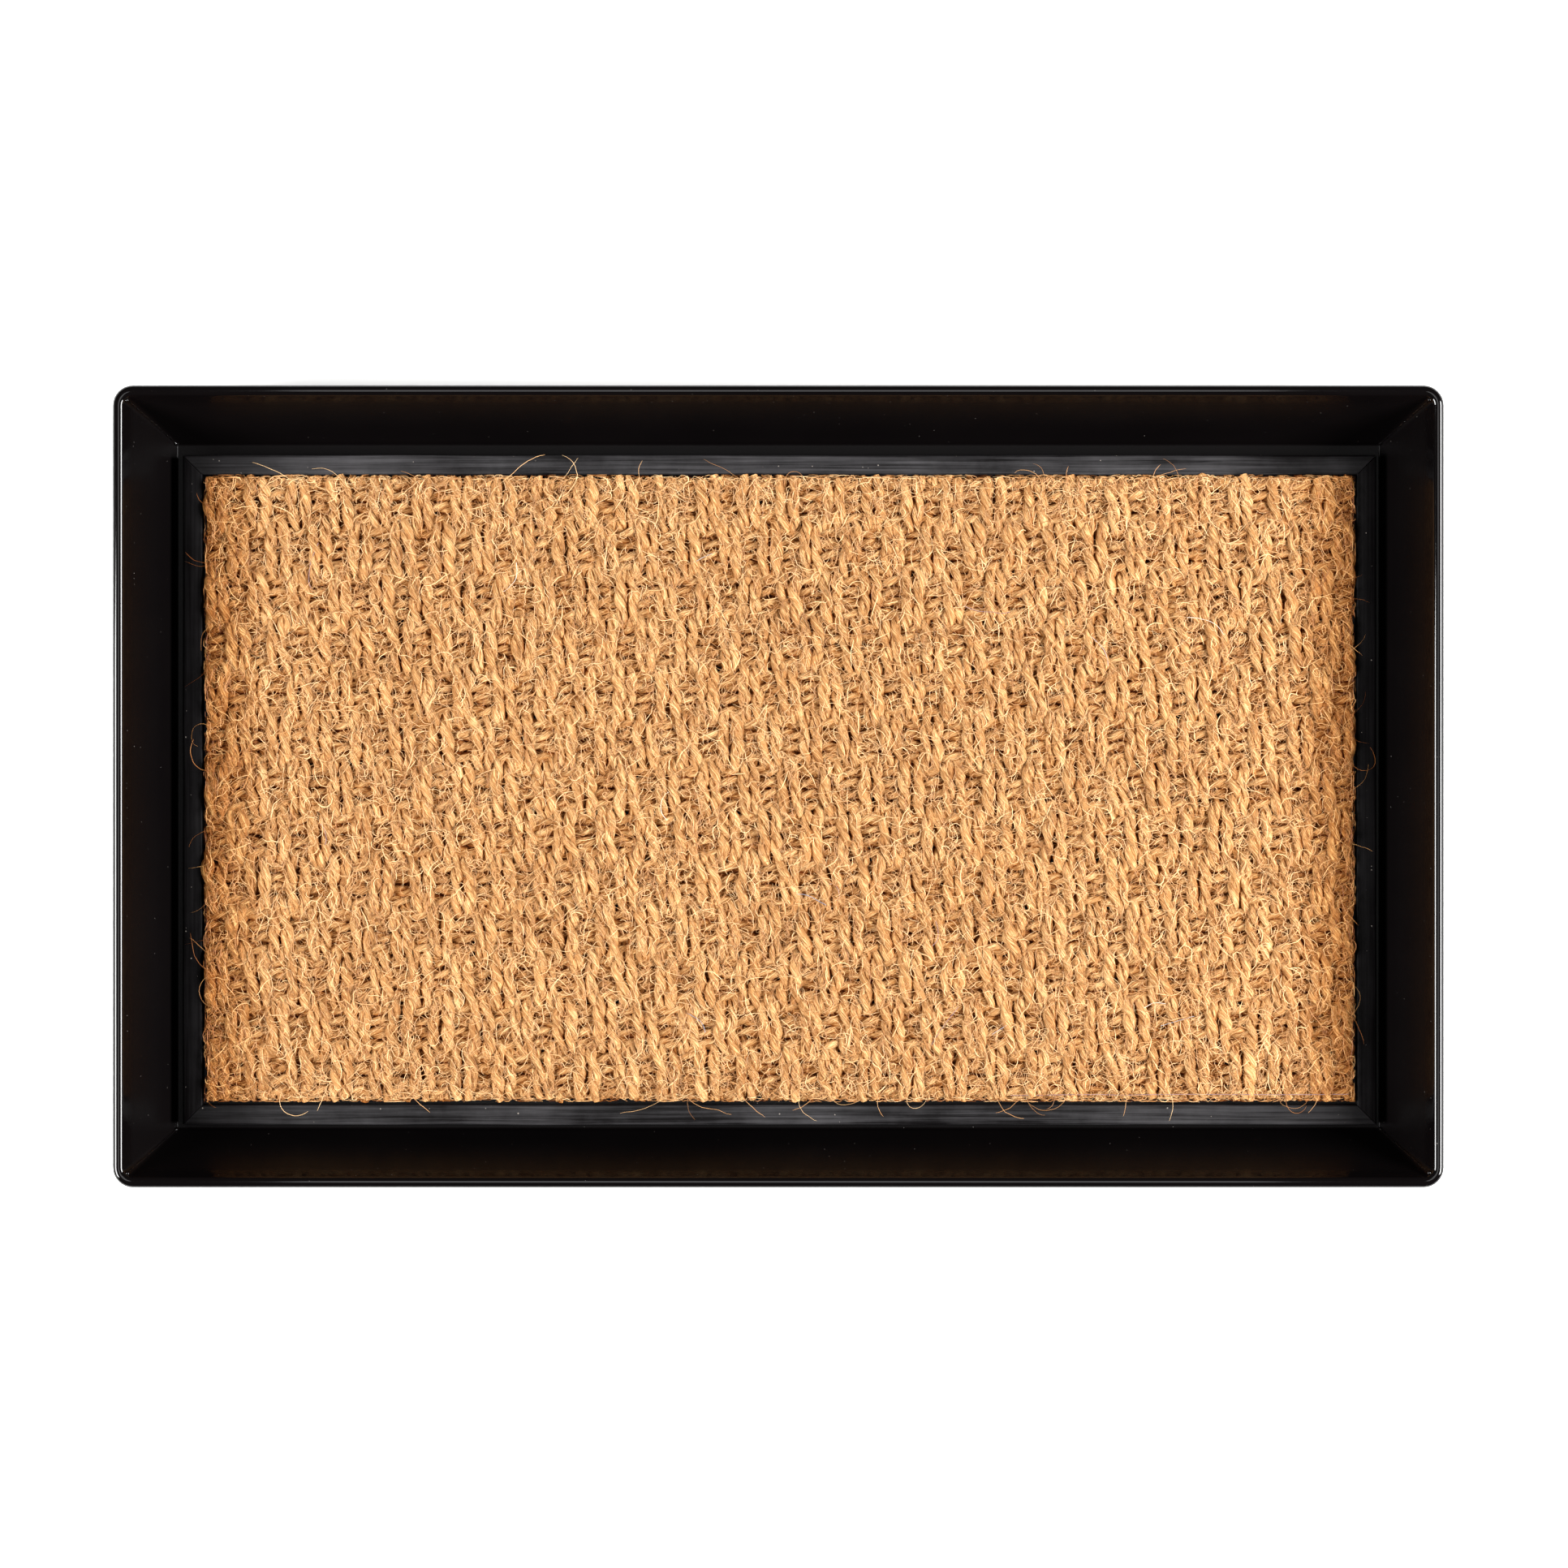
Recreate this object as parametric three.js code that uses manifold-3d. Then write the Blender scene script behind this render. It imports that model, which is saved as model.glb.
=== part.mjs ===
// Boot tray door mat: a black sheet steel tray with flared walls and a wired rim, and the mat that lies loose
// in it, a woven coir cloth in a mitred rubber frame on a rubber base. Millimetres, +Z up. The origin is the
// middle of the underside, X runs along the length and Y across the width.
import * as THREE from "three";
import { mergeVertices } from "three/addons/utils/BufferGeometryUtils.js";
import Module from "manifold-3d";

const wasm = await Module();
wasm.setup();

// Driving dimensions of the tray
const TRAY_LENGTH = 622; // over the rim
const TRAY_WIDTH = 375; // over the rim
const TRAY_HEIGHT = 45; // underside to the top of the rim
const SHEET = 0.8; // steel sheet
const FLOOR_INSET = 24.3; // from the outside of the rim in to the corner between floor and wall
const FLOOR_CORNER_RADIUS = 1.2; // of that corner line, from above
const BEND_RADIUS = 1.2; // inside of the fold between floor and wall
const WIRE_DIAMETER = 3.2; // the wire that the rim is rolled round
const WIRE_CLEARANCE = 0.3; // between the wire and the sheet rolled round it
const CURL_ANGLE = 290; // degrees that the sheet wraps round the wire
const RIM_CORNER_RADIUS = 9.5; // outside of the rim, from above

// Driving dimensions of the mat
const MAT_CLEARANCE_X = 3.2; // floor to mat at each end, when the mat is centred
const MAT_CLEARANCE_Y = 4.2; // floor to mat at each side
const MAT_SHIFT_X = 0.6; // how the loose mat lies off centre
const MAT_SHIFT_Y = -1.7;
const BASE_THICKNESS = 2.0;
const STRIP_WIDTH = 9.4; // the four strips of the rubber frame
const STRIP_HEIGHT = 7.5;
const MITRE_GAP = 0.3; // across the cut between two strips
const COIR_CLEARANCE = 2.3; // strip to coir, all round
const COIR_SHIFT_Y = 0.8; // the coir is glued down a little off centre
const COIR_THICKNESS = 10;
const WEFT_ROWS = 13; // bundles of coir yarn that run along the length
const WEFT_HEIGHT = 4.0;
const WARP_CROSSING = 6.6; // room between two weft bundles, where the warp passes from top to bottom
const WEFT_CLEARANCE = 0.3; // weft bundle to warp

// Steps that round shapes are drawn in
const CORNER_STEPS = 6;
const CURL_STEPS = 18;
const FOLD_STEPS = 3;
const WIRE_STEPS = 12;

// Sizes that follow from them
const wireRadius = WIRE_DIAMETER / 2;
const curlInside = wireRadius + WIRE_CLEARANCE;
const curlOutside = curlInside + SHEET;
const rimCentreHeight = TRAY_HEIGHT - curlOutside;
const floorLength = TRAY_LENGTH - 2 * FLOOR_INSET;
const floorWidth = TRAY_WIDTH - 2 * FLOOR_INSET;
const matLength = floorLength - 2 * MAT_CLEARANCE_X;
const matWidth = floorWidth - 2 * MAT_CLEARANCE_Y;
const baseTop = SHEET + BASE_THICKNESS;
const coirLength = matLength - 2 * (STRIP_WIDTH + COIR_CLEARANCE);
const coirWidth = matWidth - 2 * (STRIP_WIDTH + COIR_CLEARANCE);
const coirMiddle = baseTop + COIR_THICKNESS / 2;
const weftPitch = coirWidth / WEFT_ROWS;
const tunnelWidth = weftPitch - WARP_CROSSING;
const tunnelHeight = WEFT_HEIGHT + 2 * WEFT_CLEARANCE;

// The wall's inside face runs from the floor's corner to a tangent on the curl.
const cornerToRim = new THREE.Vector2(FLOOR_INSET - curlOutside, rimCentreHeight - SHEET);
const lean = Math.atan2(cornerToRim.x, cornerToRim.y) - Math.asin(curlOutside / cornerToRim.length());

const blackPaint = new THREE.MeshStandardMaterial({ color: 0x0e0c0c, roughness: 0.32, metalness: 0 });
const galvanised = new THREE.MeshStandardMaterial({ color: 0x9a9c9e, roughness: 0.45, metalness: 1 });
const rubber = new THREE.MeshStandardMaterial({ color: 0x2b292a, roughness: 0.75, metalness: 0 });
const coir = new THREE.MeshStandardMaterial({ color: 0xd99b5f, roughness: 0.9, metalness: 0 });

function named(name, geometry, material) {
  const mesh = new THREE.Mesh(geometry, material);
  mesh.name = name;
  return mesh;
}

// An arc of a circle, both ends included, in steps.
function arc(centre, radius, from, to, steps) {
  return Array.from({ length: steps + 1 }, (_, step) => {
    const angle = from + ((to - from) * step) / steps;
    return new THREE.Vector2(centre.x + radius * Math.cos(angle), centre.y + radius * Math.sin(angle));
  });
}

// A lathe whose turn is pulled out into the tray's round-cornered rectangle. Each point of the profile has
// its inset from the outside of the rim, its corner radius seen from above and its height; a point with no
// inset lies on the middle line.
function aroundTheTray(profile) {
  const cornerColumns = CORNER_STEPS + 1;
  const columns = 4 * cornerColumns;
  const outline = profile.map((p) => new THREE.Vector2(p.inset === undefined ? 0 : 1, p.height));
  const geometry = new THREE.LatheGeometry(outline, columns);
  const position = geometry.getAttribute("position");
  for (let i = 0; i < position.count; i++) {
    const { inset, radius, height } = profile[i % profile.length];
    if (inset === undefined) {
      position.setXYZ(i, 0, 0, height);
      continue;
    }
    const column = Math.floor(i / profile.length) % columns;
    const corner = Math.floor(column / cornerColumns);
    const angle = (corner + (column % cornerColumns) / CORNER_STEPS) * (Math.PI / 2);
    const sideX = corner === 0 || corner === 3 ? 1 : -1;
    const sideY = corner < 2 ? 1 : -1;
    const x = sideX * (TRAY_LENGTH / 2 - inset - radius) + radius * Math.cos(angle);
    const y = sideY * (TRAY_WIDTH / 2 - inset - radius) + radius * Math.sin(angle);
    position.setXYZ(i, x, y, height);
  }
  geometry.computeVertexNormals();
  return geometry;
}

// A point near the rim, given outwards and upwards from the wire's centre.
function rimPoint(offset) {
  const inset = curlOutside - offset.x;
  return { inset, radius: RIM_CORNER_RADIUS - inset, height: rimCentreHeight + offset.y };
}

// A point near the fold, given outwards from the corner between floor and wall and upwards from the floor.
function foldPoint(offset) {
  return { inset: FLOOR_INSET - offset.x, radius: FLOOR_CORNER_RADIUS + offset.x, height: SHEET + offset.y };
}

// Floor, four flared walls and the rim rolled outwards, all from one blank welded up its corners.
function trayPan() {
  const wireCentre = new THREE.Vector2(0, 0);
  const curlStart = Math.PI - lean;
  const curlEnd = curlStart - THREE.MathUtils.degToRad(CURL_ANGLE);
  const curl = (radius) => arc(wireCentre, radius, curlStart, curlEnd, CURL_STEPS).map(rimPoint);

  const foldTurn = Math.PI / 2 - lean;
  const foldCentre = new THREE.Vector2(-BEND_RADIUS * Math.tan(foldTurn / 2), BEND_RADIUS);
  const fold = (radius) =>
    arc(foldCentre, radius, -Math.PI / 2, -Math.PI / 2 + foldTurn, FOLD_STEPS).map(foldPoint);

  const profile = [
    { height: 0 },
    ...fold(BEND_RADIUS + SHEET),
    ...curl(curlInside),
    ...curl(curlOutside).reverse(),
    ...fold(BEND_RADIUS).reverse(),
    { height: SHEET },
  ];
  return named("tray_pan", aroundTheTray(profile), blackPaint);
}

function rimWire() {
  const section = arc(new THREE.Vector2(0, 0), wireRadius, 0, 2 * Math.PI, WIRE_STEPS).map(rimPoint);
  return named("rim_wire", aroundTheTray(section), galvanised);
}

function rubberBase() {
  const mesh = named("rubber_base", new THREE.BoxGeometry(matLength, matWidth, BASE_THICKNESS), rubber);
  mesh.position.z = SHEET + BASE_THICKNESS / 2;
  return mesh;
}

// One strip of the rubber frame, cut at 45 degrees at both ends, its outer edge a distance out from the middle.
function frameStrip(name, length, distance, turn) {
  const outer = length / 2 - MITRE_GAP / Math.SQRT2;
  const inner = outer - STRIP_WIDTH;
  const plan = new THREE.Shape();
  plan.moveTo(-outer, 0);
  plan.lineTo(outer, 0);
  plan.lineTo(inner, STRIP_WIDTH);
  plan.lineTo(-inner, STRIP_WIDTH);
  plan.closePath();
  const geometry = new THREE.ExtrudeGeometry(plan, { depth: STRIP_HEIGHT, bevelEnabled: false });
  geometry.translate(0, -distance, baseTop).rotateZ(turn);
  return named(name, geometry, rubber);
}

function weftRowY(row) {
  return (row + 0.5) * weftPitch - coirWidth / 2;
}

// A closed geometry as a manifold-3d solid, for cutting.
function solid(geometry) {
  const bare = new THREE.BufferGeometry().setAttribute("position", geometry.toNonIndexed().getAttribute("position"));
  const merged = mergeVertices(bare);
  const vertProperties = new Float32Array(merged.getAttribute("position").array);
  const triVerts = new Uint32Array(merged.index.array);
  return new wasm.Manifold(new wasm.Mesh({ numProp: 3, vertProperties, triVerts }));
}

function geometryOf(cut) {
  const { vertProperties, triVerts } = cut.getMesh();
  const geometry = new THREE.BufferGeometry();
  geometry.setAttribute("position", new THREE.BufferAttribute(new Float32Array(vertProperties), 3));
  geometry.setIndex(new THREE.BufferAttribute(new Uint32Array(triVerts), 1));
  geometry.computeVertexNormals();
  return geometry;
}

// The warp yarns as one slab, with a tunnel cut through it for each weft bundle.
function coirWarp() {
  let slab = solid(new THREE.BoxGeometry(coirLength, coirWidth, COIR_THICKNESS));
  for (let row = 0; row < WEFT_ROWS; row++) {
    const tunnel = new THREE.BoxGeometry(2 * coirLength, tunnelWidth, tunnelHeight);
    slab = slab.subtract(solid(tunnel.translate(0, weftRowY(row), 0)));
  }
  return named("coir_warp", geometryOf(slab), coir);
}

// One weft bundle: three yarns side by side, as one flat bar with round edges.
function weftBundle(row) {
  const edge = WEFT_HEIGHT / 2;
  const reach = tunnelWidth / 2 - WEFT_CLEARANCE - edge;
  const section = new THREE.Shape();
  section.absarc(reach, 0, edge, -Math.PI / 2, Math.PI / 2);
  section.absarc(-reach, 0, edge, Math.PI / 2, (3 * Math.PI) / 2);
  const geometry = new THREE.ExtrudeGeometry(section, { depth: coirLength, bevelEnabled: false, curveSegments: 4 });
  geometry.translate(0, 0, -coirLength / 2).rotateX(Math.PI / 2).rotateZ(Math.PI / 2);
  const mesh = named(`coir_weft_${String(row + 1).padStart(2, "0")}`, geometry, coir);
  mesh.position.y = weftRowY(row);
  return mesh;
}

const tray = new THREE.Group();
tray.add(trayPan(), rimWire());

const cloth = new THREE.Group();
cloth.position.set(0, COIR_SHIFT_Y, coirMiddle);
cloth.add(coirWarp());
for (let row = 0; row < WEFT_ROWS; row++) cloth.add(weftBundle(row));

const mat = new THREE.Group();
mat.position.set(MAT_SHIFT_X, MAT_SHIFT_Y, 0);
mat.add(rubberBase(), cloth);
mat.add(
  frameStrip("frame_strip_front", matLength, matWidth / 2, 0),
  frameStrip("frame_strip_right", matWidth, matLength / 2, Math.PI / 2),
  frameStrip("frame_strip_back", matLength, matWidth / 2, Math.PI),
  frameStrip("frame_strip_left", matWidth, matLength / 2, -Math.PI / 2),
);

const doorMat = new THREE.Group();
doorMat.add(tray, mat);

export default doorMat;
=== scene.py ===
import bmesh
import bpy
import numpy as np
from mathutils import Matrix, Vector, noise


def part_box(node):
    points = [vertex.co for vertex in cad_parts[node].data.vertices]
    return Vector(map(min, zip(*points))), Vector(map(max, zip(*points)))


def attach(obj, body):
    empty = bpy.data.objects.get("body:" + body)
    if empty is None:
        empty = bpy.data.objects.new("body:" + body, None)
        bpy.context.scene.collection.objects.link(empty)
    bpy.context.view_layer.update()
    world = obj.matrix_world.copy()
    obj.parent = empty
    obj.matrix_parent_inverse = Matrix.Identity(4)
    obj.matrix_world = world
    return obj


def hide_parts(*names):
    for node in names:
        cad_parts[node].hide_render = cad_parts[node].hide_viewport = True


# The noise that makes the rubber waver starts from a fixed seed, so that every run gives the same shapes.
NOISE_SEED = 3

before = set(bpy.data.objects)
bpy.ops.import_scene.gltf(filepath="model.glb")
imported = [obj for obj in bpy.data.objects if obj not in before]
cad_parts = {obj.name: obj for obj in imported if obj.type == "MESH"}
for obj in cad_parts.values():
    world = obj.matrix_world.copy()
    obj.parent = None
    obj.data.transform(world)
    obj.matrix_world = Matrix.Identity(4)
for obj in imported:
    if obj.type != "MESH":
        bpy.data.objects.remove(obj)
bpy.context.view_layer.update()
noise.seed_set(NOISE_SEED)

# -----------------------------------------------------------------------------
# Camera: high above the mat and square to it, with a long lens, a touch off the middle.
CAMERA_ABOVE_RIM = 2.0
CAMERA_OFF_CENTRE = (0.00265, 0.00114)
VIEW_WIDTH_AT_RIM = 0.7318
SENSOR_WIDTH_MM = 36
CAMERA_CLIP = (0.05, 50)

rim_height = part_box("tray_pan")[1][2]
camera = bpy.data.cameras.new("camera")
camera.sensor_width = SENSOR_WIDTH_MM
camera.lens = SENSOR_WIDTH_MM * CAMERA_ABOVE_RIM / VIEW_WIDTH_AT_RIM
camera.clip_start, camera.clip_end = CAMERA_CLIP
camera_object = bpy.data.objects.new("camera", camera)
camera_object.location = (*CAMERA_OFF_CENTRE, rim_height + CAMERA_ABOVE_RIM)
bpy.context.collection.objects.link(camera_object)
bpy.context.scene.camera = camera_object
bpy.context.scene.view_settings.view_transform = "Standard"

# -----------------------------------------------------------------------------
# Floor and light: a plain white floor in a white room, a long soft lamp low on the left and one on
# the right, and a weak one overhead, so that only the sides of the rim catch bright lines. The room
# itself gives little light.
FLOOR_SIZE = 4.0
FLOOR_WHITE = (0.86, 0.86, 0.85, 1)
FLOOR_ROUGHNESS = 0.9
LAMPS = {
    "right": {"at": (1.85, -0.1, 1.2), "size": (1.5, 0.7), "watts": 196},
    "left": {"at": (-1.85, -0.45, 1.2), "size": (1.3, 0.8), "watts": 148},
    "overhead": {"at": (0.0, 0.15, 3.2), "size": (1.2, 1.6), "watts": 20},
}
AMBIENT = 0.045


def add_node(tree, kind, values=None, **settings):
    """Adds a shader node. A value is a number or colour for the socket, or an output to link to it."""
    made = tree.nodes.new("ShaderNode" + kind)
    for setting, value in settings.items():
        setattr(made, setting, value)
    for socket, value in (values or {}).items():
        if isinstance(value, bpy.types.NodeSocket):
            tree.links.new(value, made.inputs[socket])
        else:
            made.inputs[socket].default_value = value
    return made


def rescaled(tree, value, start, end, to_start=0.0, to_end=1.0):
    """Maps start..end to to_start..to_end, and stays within it."""
    sockets = {"Value": value, "From Min": start, "From Max": end, "To Min": to_start, "To Max": to_end}
    return add_node(tree, "MapRange", sockets).outputs["Result"]


def mix_colours(tree, factor, a, b, blend_type="MIX"):
    values = {"Factor": factor, "A": a, "B": b}
    return add_node(tree, "Mix", values, data_type="RGBA", blend_type=blend_type).outputs["Result"]


def cloudy(tree, vector, scale, detail, roughness=0.5):
    """Cloudy noise from 0 to 1."""
    sockets = {"Vector": vector, "Scale": scale, "Detail": detail, "Roughness": roughness}
    return add_node(tree, "TexNoise", sockets).outputs["Fac"]


def three_tones(tree, tone, tones, middle_at):
    """A colour ramp from dark to pale, with its middle colour at middle_at."""
    ramp = add_node(tree, "ValToRGB", {"Fac": tone})
    elements = ramp.color_ramp.elements
    elements[0].color = tones[0]
    elements.new(middle_at).color = tones[1]
    elements[-1].color = tones[2]
    return ramp.outputs["Color"]


def add_bump(tree, shader, height, strength, distance):
    bump = add_node(tree, "Bump", {"Height": height, "Strength": strength, "Distance": distance})
    tree.links.new(bump.outputs["Normal"], shader.inputs["Normal"])


def new_material(name, **principled):
    """A material with a Principled BSDF, its plain numbers set; returns it, its tree and the shader."""
    material = bpy.data.materials.new(name)
    material.use_nodes = True
    tree = material.node_tree
    shader = tree.nodes["Principled BSDF"]
    for socket, value in principled.items():
        shader.inputs[socket.replace("_", " ")].default_value = value
    return material, tree, shader


def new_object(name, mesh):
    made = bpy.data.objects.new(name, mesh)
    bpy.context.collection.objects.link(made)
    return made


def object_from(bm, name, material, smooth_below=None):
    """Ends a bmesh as an object of one material. Edges blunter than smooth_below degrees are smooth."""
    mesh = bpy.data.meshes.new(name)
    bm.to_mesh(mesh)
    bm.free()
    mesh.materials.append(material)
    if smooth_below:
        mesh.shade_smooth()
        mesh.set_sharp_from_angle(angle=np.radians(smooth_below))
    return new_object(name, mesh)


floor_mesh = bmesh.new()
bmesh.ops.create_grid(floor_mesh, x_segments=4, y_segments=4, size=FLOOR_SIZE / 2)
floor_paint, _, _ = new_material("floor_white", Base_Color=FLOOR_WHITE, Roughness=FLOOR_ROUGHNESS)
object_from(floor_mesh, "floor", floor_paint)

for lamp_name, lamp in LAMPS.items():
    light = bpy.data.lights.new("lamp_" + lamp_name, "AREA")
    light.shape = "RECTANGLE"
    light.size, light.size_y = lamp["size"]
    light.energy = lamp["watts"]
    light_object = bpy.data.objects.new("lamp_" + lamp_name, light)
    light_object.location = lamp["at"]
    light_object.rotation_euler = (-Vector(lamp["at"])).to_track_quat("-Z", "Y").to_euler()
    bpy.context.collection.objects.link(light_object)

world = bpy.data.worlds.new("studio")
world.use_nodes = True
world_tree = world.node_tree
seen = add_node(world_tree, "LightPath").outputs["Is Camera Ray"]
background = world_tree.nodes["Background"]
world_tree.links.new(rescaled(world_tree, seen, 0.0, 1.0, AMBIENT, 1.0), background.inputs["Strength"])
background.inputs["Color"].default_value = (1, 1, 1, 1)
bpy.context.scene.world = world

# -----------------------------------------------------------------------------
# Tray pan: one blank of thin steel, folded up into four flared walls, its top edge rolled outwards
# round a wire, and welded up the corners. It is sprayed with satin black paint, which has gathered
# some white dust. Over the rim the paint is rubbed smooth, and on its top it is thick and glossy.
SHEET = 0.0008
FLOOR_INSET = 0.0243
FLOOR_CORNER_RADIUS = 0.0012
BEND_RADIUS = 0.0012
WIRE_RADIUS = 0.0016
WIRE_CLEARANCE = 0.0003
CURL_DEGREES = 290
RIM_CORNER_RADIUS = 0.0095
CORNER_STEPS = 8
LONG_SIDE_STEPS = 40
SHORT_SIDE_STEPS = 24
FOLD_STEPS = 6
WALL_STEPS = 8
CURL_STEPS = 30
WALL_WAVE = 0.00035
WALL_WAVES_PER_METRE = 9
PAINT_SHEEN = 0.055
PAINT_BLACK = (0.0008, 0.0006, 0.0007, 1)
PAINT_HAZE = (0.0020, 0.0015, 0.0015, 1)
PAINT_DUST = (0.14, 0.13, 0.12, 1)
PAINT_SPECKS = {"Cells per metre": 420.0, "Share": 0.2, "Size": 0.075}
RIM_GLOSS = 0.45
GLOSS_DEPTH = 0.0018
GLOSS_FADE = 0.0007
RUBBED_DEPTHS = (0.009, 0.004)
RUBBED_ROUGHNESS = (0.3, 0.06)

tray_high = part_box("tray_pan")[1]
half_length, half_width = tray_high[0], tray_high[1]
curl_inside = WIRE_RADIUS + WIRE_CLEARANCE
curl_outside = curl_inside + SHEET
rim_centre_height = tray_high[2] - curl_outside
corner_to_rim = Vector((FLOOR_INSET - curl_outside, rim_centre_height - SHEET))
rim_bearing = np.arctan2(corner_to_rim.x, corner_to_rim.y)
wall_lean = rim_bearing - np.arcsin(curl_outside / corner_to_rim.length)


def arc_points(centre, radius, start, end, steps):
    angles = np.linspace(start, end, steps + 1)
    return [(centre[0] + radius * np.cos(a), centre[1] + radius * np.sin(a)) for a in angles]


def curl_profile(radius):
    """The rolled rim's section: each point's inset, the corner's radius there, and height."""
    start = np.pi - wall_lean
    points = arc_points((0, 0), radius, start, start - np.radians(CURL_DEGREES), CURL_STEPS)
    inner_radius = RIM_CORNER_RADIUS - curl_outside
    return [(curl_outside - x, inner_radius + x, rim_centre_height + z) for x, z in points]


def fold_profile(radius):
    """The fold between floor and wall, in the same terms."""
    turn = np.pi / 2 - wall_lean
    centre = (-BEND_RADIUS * np.tan(turn / 2), BEND_RADIUS)
    points = arc_points(centre, radius, -np.pi / 2, -np.pi / 2 + turn, FOLD_STEPS)
    return [(FLOOR_INSET - x, FLOOR_CORNER_RADIUS + x, SHEET + z) for x, z in points]


def wall_profile(below, above):
    shares = np.linspace(0, 1, WALL_STEPS + 2)[1:-1]
    return [tuple(np.add(below, np.multiply(np.subtract(above, below), share))) for share in shares]


def sweep_columns():
    """Where each column of the sweep stands: the corner it starts from, its direction from that corner's
    centre, and how far along it is to the next corner."""
    columns = []
    for corner in range(4):
        for step in range(CORNER_STEPS + 1):
            angle = (corner + step / CORNER_STEPS) * np.pi / 2
            columns.append({"corner": corner, "angle": angle, "along": 0.0})
        side_steps = (LONG_SIDE_STEPS, SHORT_SIDE_STEPS)[corner % 2]
        for step in range(1, side_steps):
            share = step / side_steps
            columns.append({"corner": corner, "angle": (corner + 1) * np.pi / 2, "along": share})
    return columns


CORNER_SIGNS = (Vector((1, 1, 0)), Vector((-1, 1, 0)), Vector((-1, -1, 0)), Vector((1, -1, 0)))
COLUMNS = sweep_columns()


def corner_centre(corner, reach):
    """The centre of a corner's curve, as far in from the outside of the rim as reach."""
    return CORNER_SIGNS[corner % 4] * Vector((half_length - reach, half_width - reach, 0))


def ring_edges(ring):
    """The edges that join each vertex of a closed ring to the one before it."""
    pairs = zip(ring, ring[-1:] + ring[:-1])
    return [edge for a, b in pairs for edge in a.link_edges if edge.other_vert(a) is b]


def next_ring(bm, ring):
    """Extrudes a ring of edges and returns the new vertices in the old order."""
    made = bmesh.ops.extrude_edge_only(bm, edges=ring_edges(ring))["geom"]
    fresh = {item for item in made if isinstance(item, bmesh.types.BMVert)}
    far_ends = ([edge.other_vert(vert) for edge in vert.link_edges] for vert in ring)
    return [next(end for end in ends if end in fresh) for ends in far_ends]


def swept_round_tray(section):
    """Extrudes a ring of edges from point to point of the section and closes both its ends. The walls bow
    in and out a little, most halfway up."""
    bm = bmesh.new()
    ring = bmesh.ops.create_circle(bm, cap_ends=True, segments=len(COLUMNS), radius=1)["verts"]
    started = False
    for inset, radius, height in section:
        ring = next_ring(bm, ring) if started else ring
        started = True
        up_wall = min(1.0, max(0.0, (height - SHEET) / (rim_centre_height - SHEET)))
        for vert, column in zip(ring, COLUMNS):
            ends = [corner_centre(column["corner"] + k, inset + radius) for k in range(2)]
            outwards = Vector((np.cos(column["angle"]), np.sin(column["angle"]), 0))
            vert.co = ends[0].lerp(ends[1], column["along"]) + outwards * radius
            wave = noise.noise(vert.co * WALL_WAVES_PER_METRE)
            vert.co += outwards * (WALL_WAVE * wave * np.sin(np.pi * up_wall))
            vert.co.z = height
    bmesh.ops.edgeloop_fill(bm, edges=ring_edges(ring))
    bmesh.ops.recalc_face_normals(bm, faces=bm.faces)
    return bm


def new_group(name, inputs, outputs):
    """A shader node group with number or vector inputs and number outputs, and its two end nodes."""
    group = bpy.data.node_groups.new(name, "ShaderNodeTree")
    for socket, default in inputs.items():
        kind = "NodeSocketFloat" if isinstance(default, (int, float)) else "NodeSocketVector"
        made = group.interface.new_socket(socket, in_out="INPUT", socket_type=kind)
        if kind == "NodeSocketFloat":
            made.default_value = default
    for socket in outputs:
        group.interface.new_socket(socket, in_out="OUTPUT", socket_type="NodeSocketFloat")
    return group, group.nodes.new("NodeGroupInput"), group.nodes.new("NodeGroupOutput")


def place_group(tree, group, values):
    made = add_node(tree, "Group", node_tree=group)
    for socket, value in values.items():
        if isinstance(value, bpy.types.NodeSocket):
            tree.links.new(value, made.inputs[socket])
        else:
            made.inputs[socket].default_value = value
    return made


def math(tree, operation, a, b=0.5, c=0.5, clamp=False):
    made = tree.nodes.new("ShaderNodeMath")
    made.operation = operation
    made.use_clamp = clamp
    for socket, value in zip(made.inputs, (a, b, c)):
        if isinstance(value, bpy.types.NodeSocket):
            tree.links.new(value, socket)
        else:
            socket.default_value = value
    return made.outputs[0]


def dust_group():
    """Specks of dust: a mask of small dots, one in some of the cells of a Voronoi pattern."""
    sockets = {"Vector": (0, 0, 0), "Cells per metre": 150.0, "Share": 0.2, "Size": 0.12}
    group, ins, outs = new_group("dust_specks", sockets, ["Mask"])
    pattern = {"Vector": ins.outputs["Vector"], "Scale": ins.outputs["Cells per metre"]}
    cells = add_node(group, "TexVoronoi", pattern)
    pick = add_node(group, "SeparateColor", {"Color": cells.outputs["Color"]})
    chosen = math(group, "LESS_THAN", pick.outputs["Red"], ins.outputs["Share"])
    reach = math(group, "MULTIPLY", pick.outputs["Green"], ins.outputs["Size"])
    close = math(group, "LESS_THAN", cells.outputs["Distance"], reach)
    group.links.new(math(group, "MULTIPLY", chosen, close), outs.inputs["Mask"])
    return group


DUST = dust_group()


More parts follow.
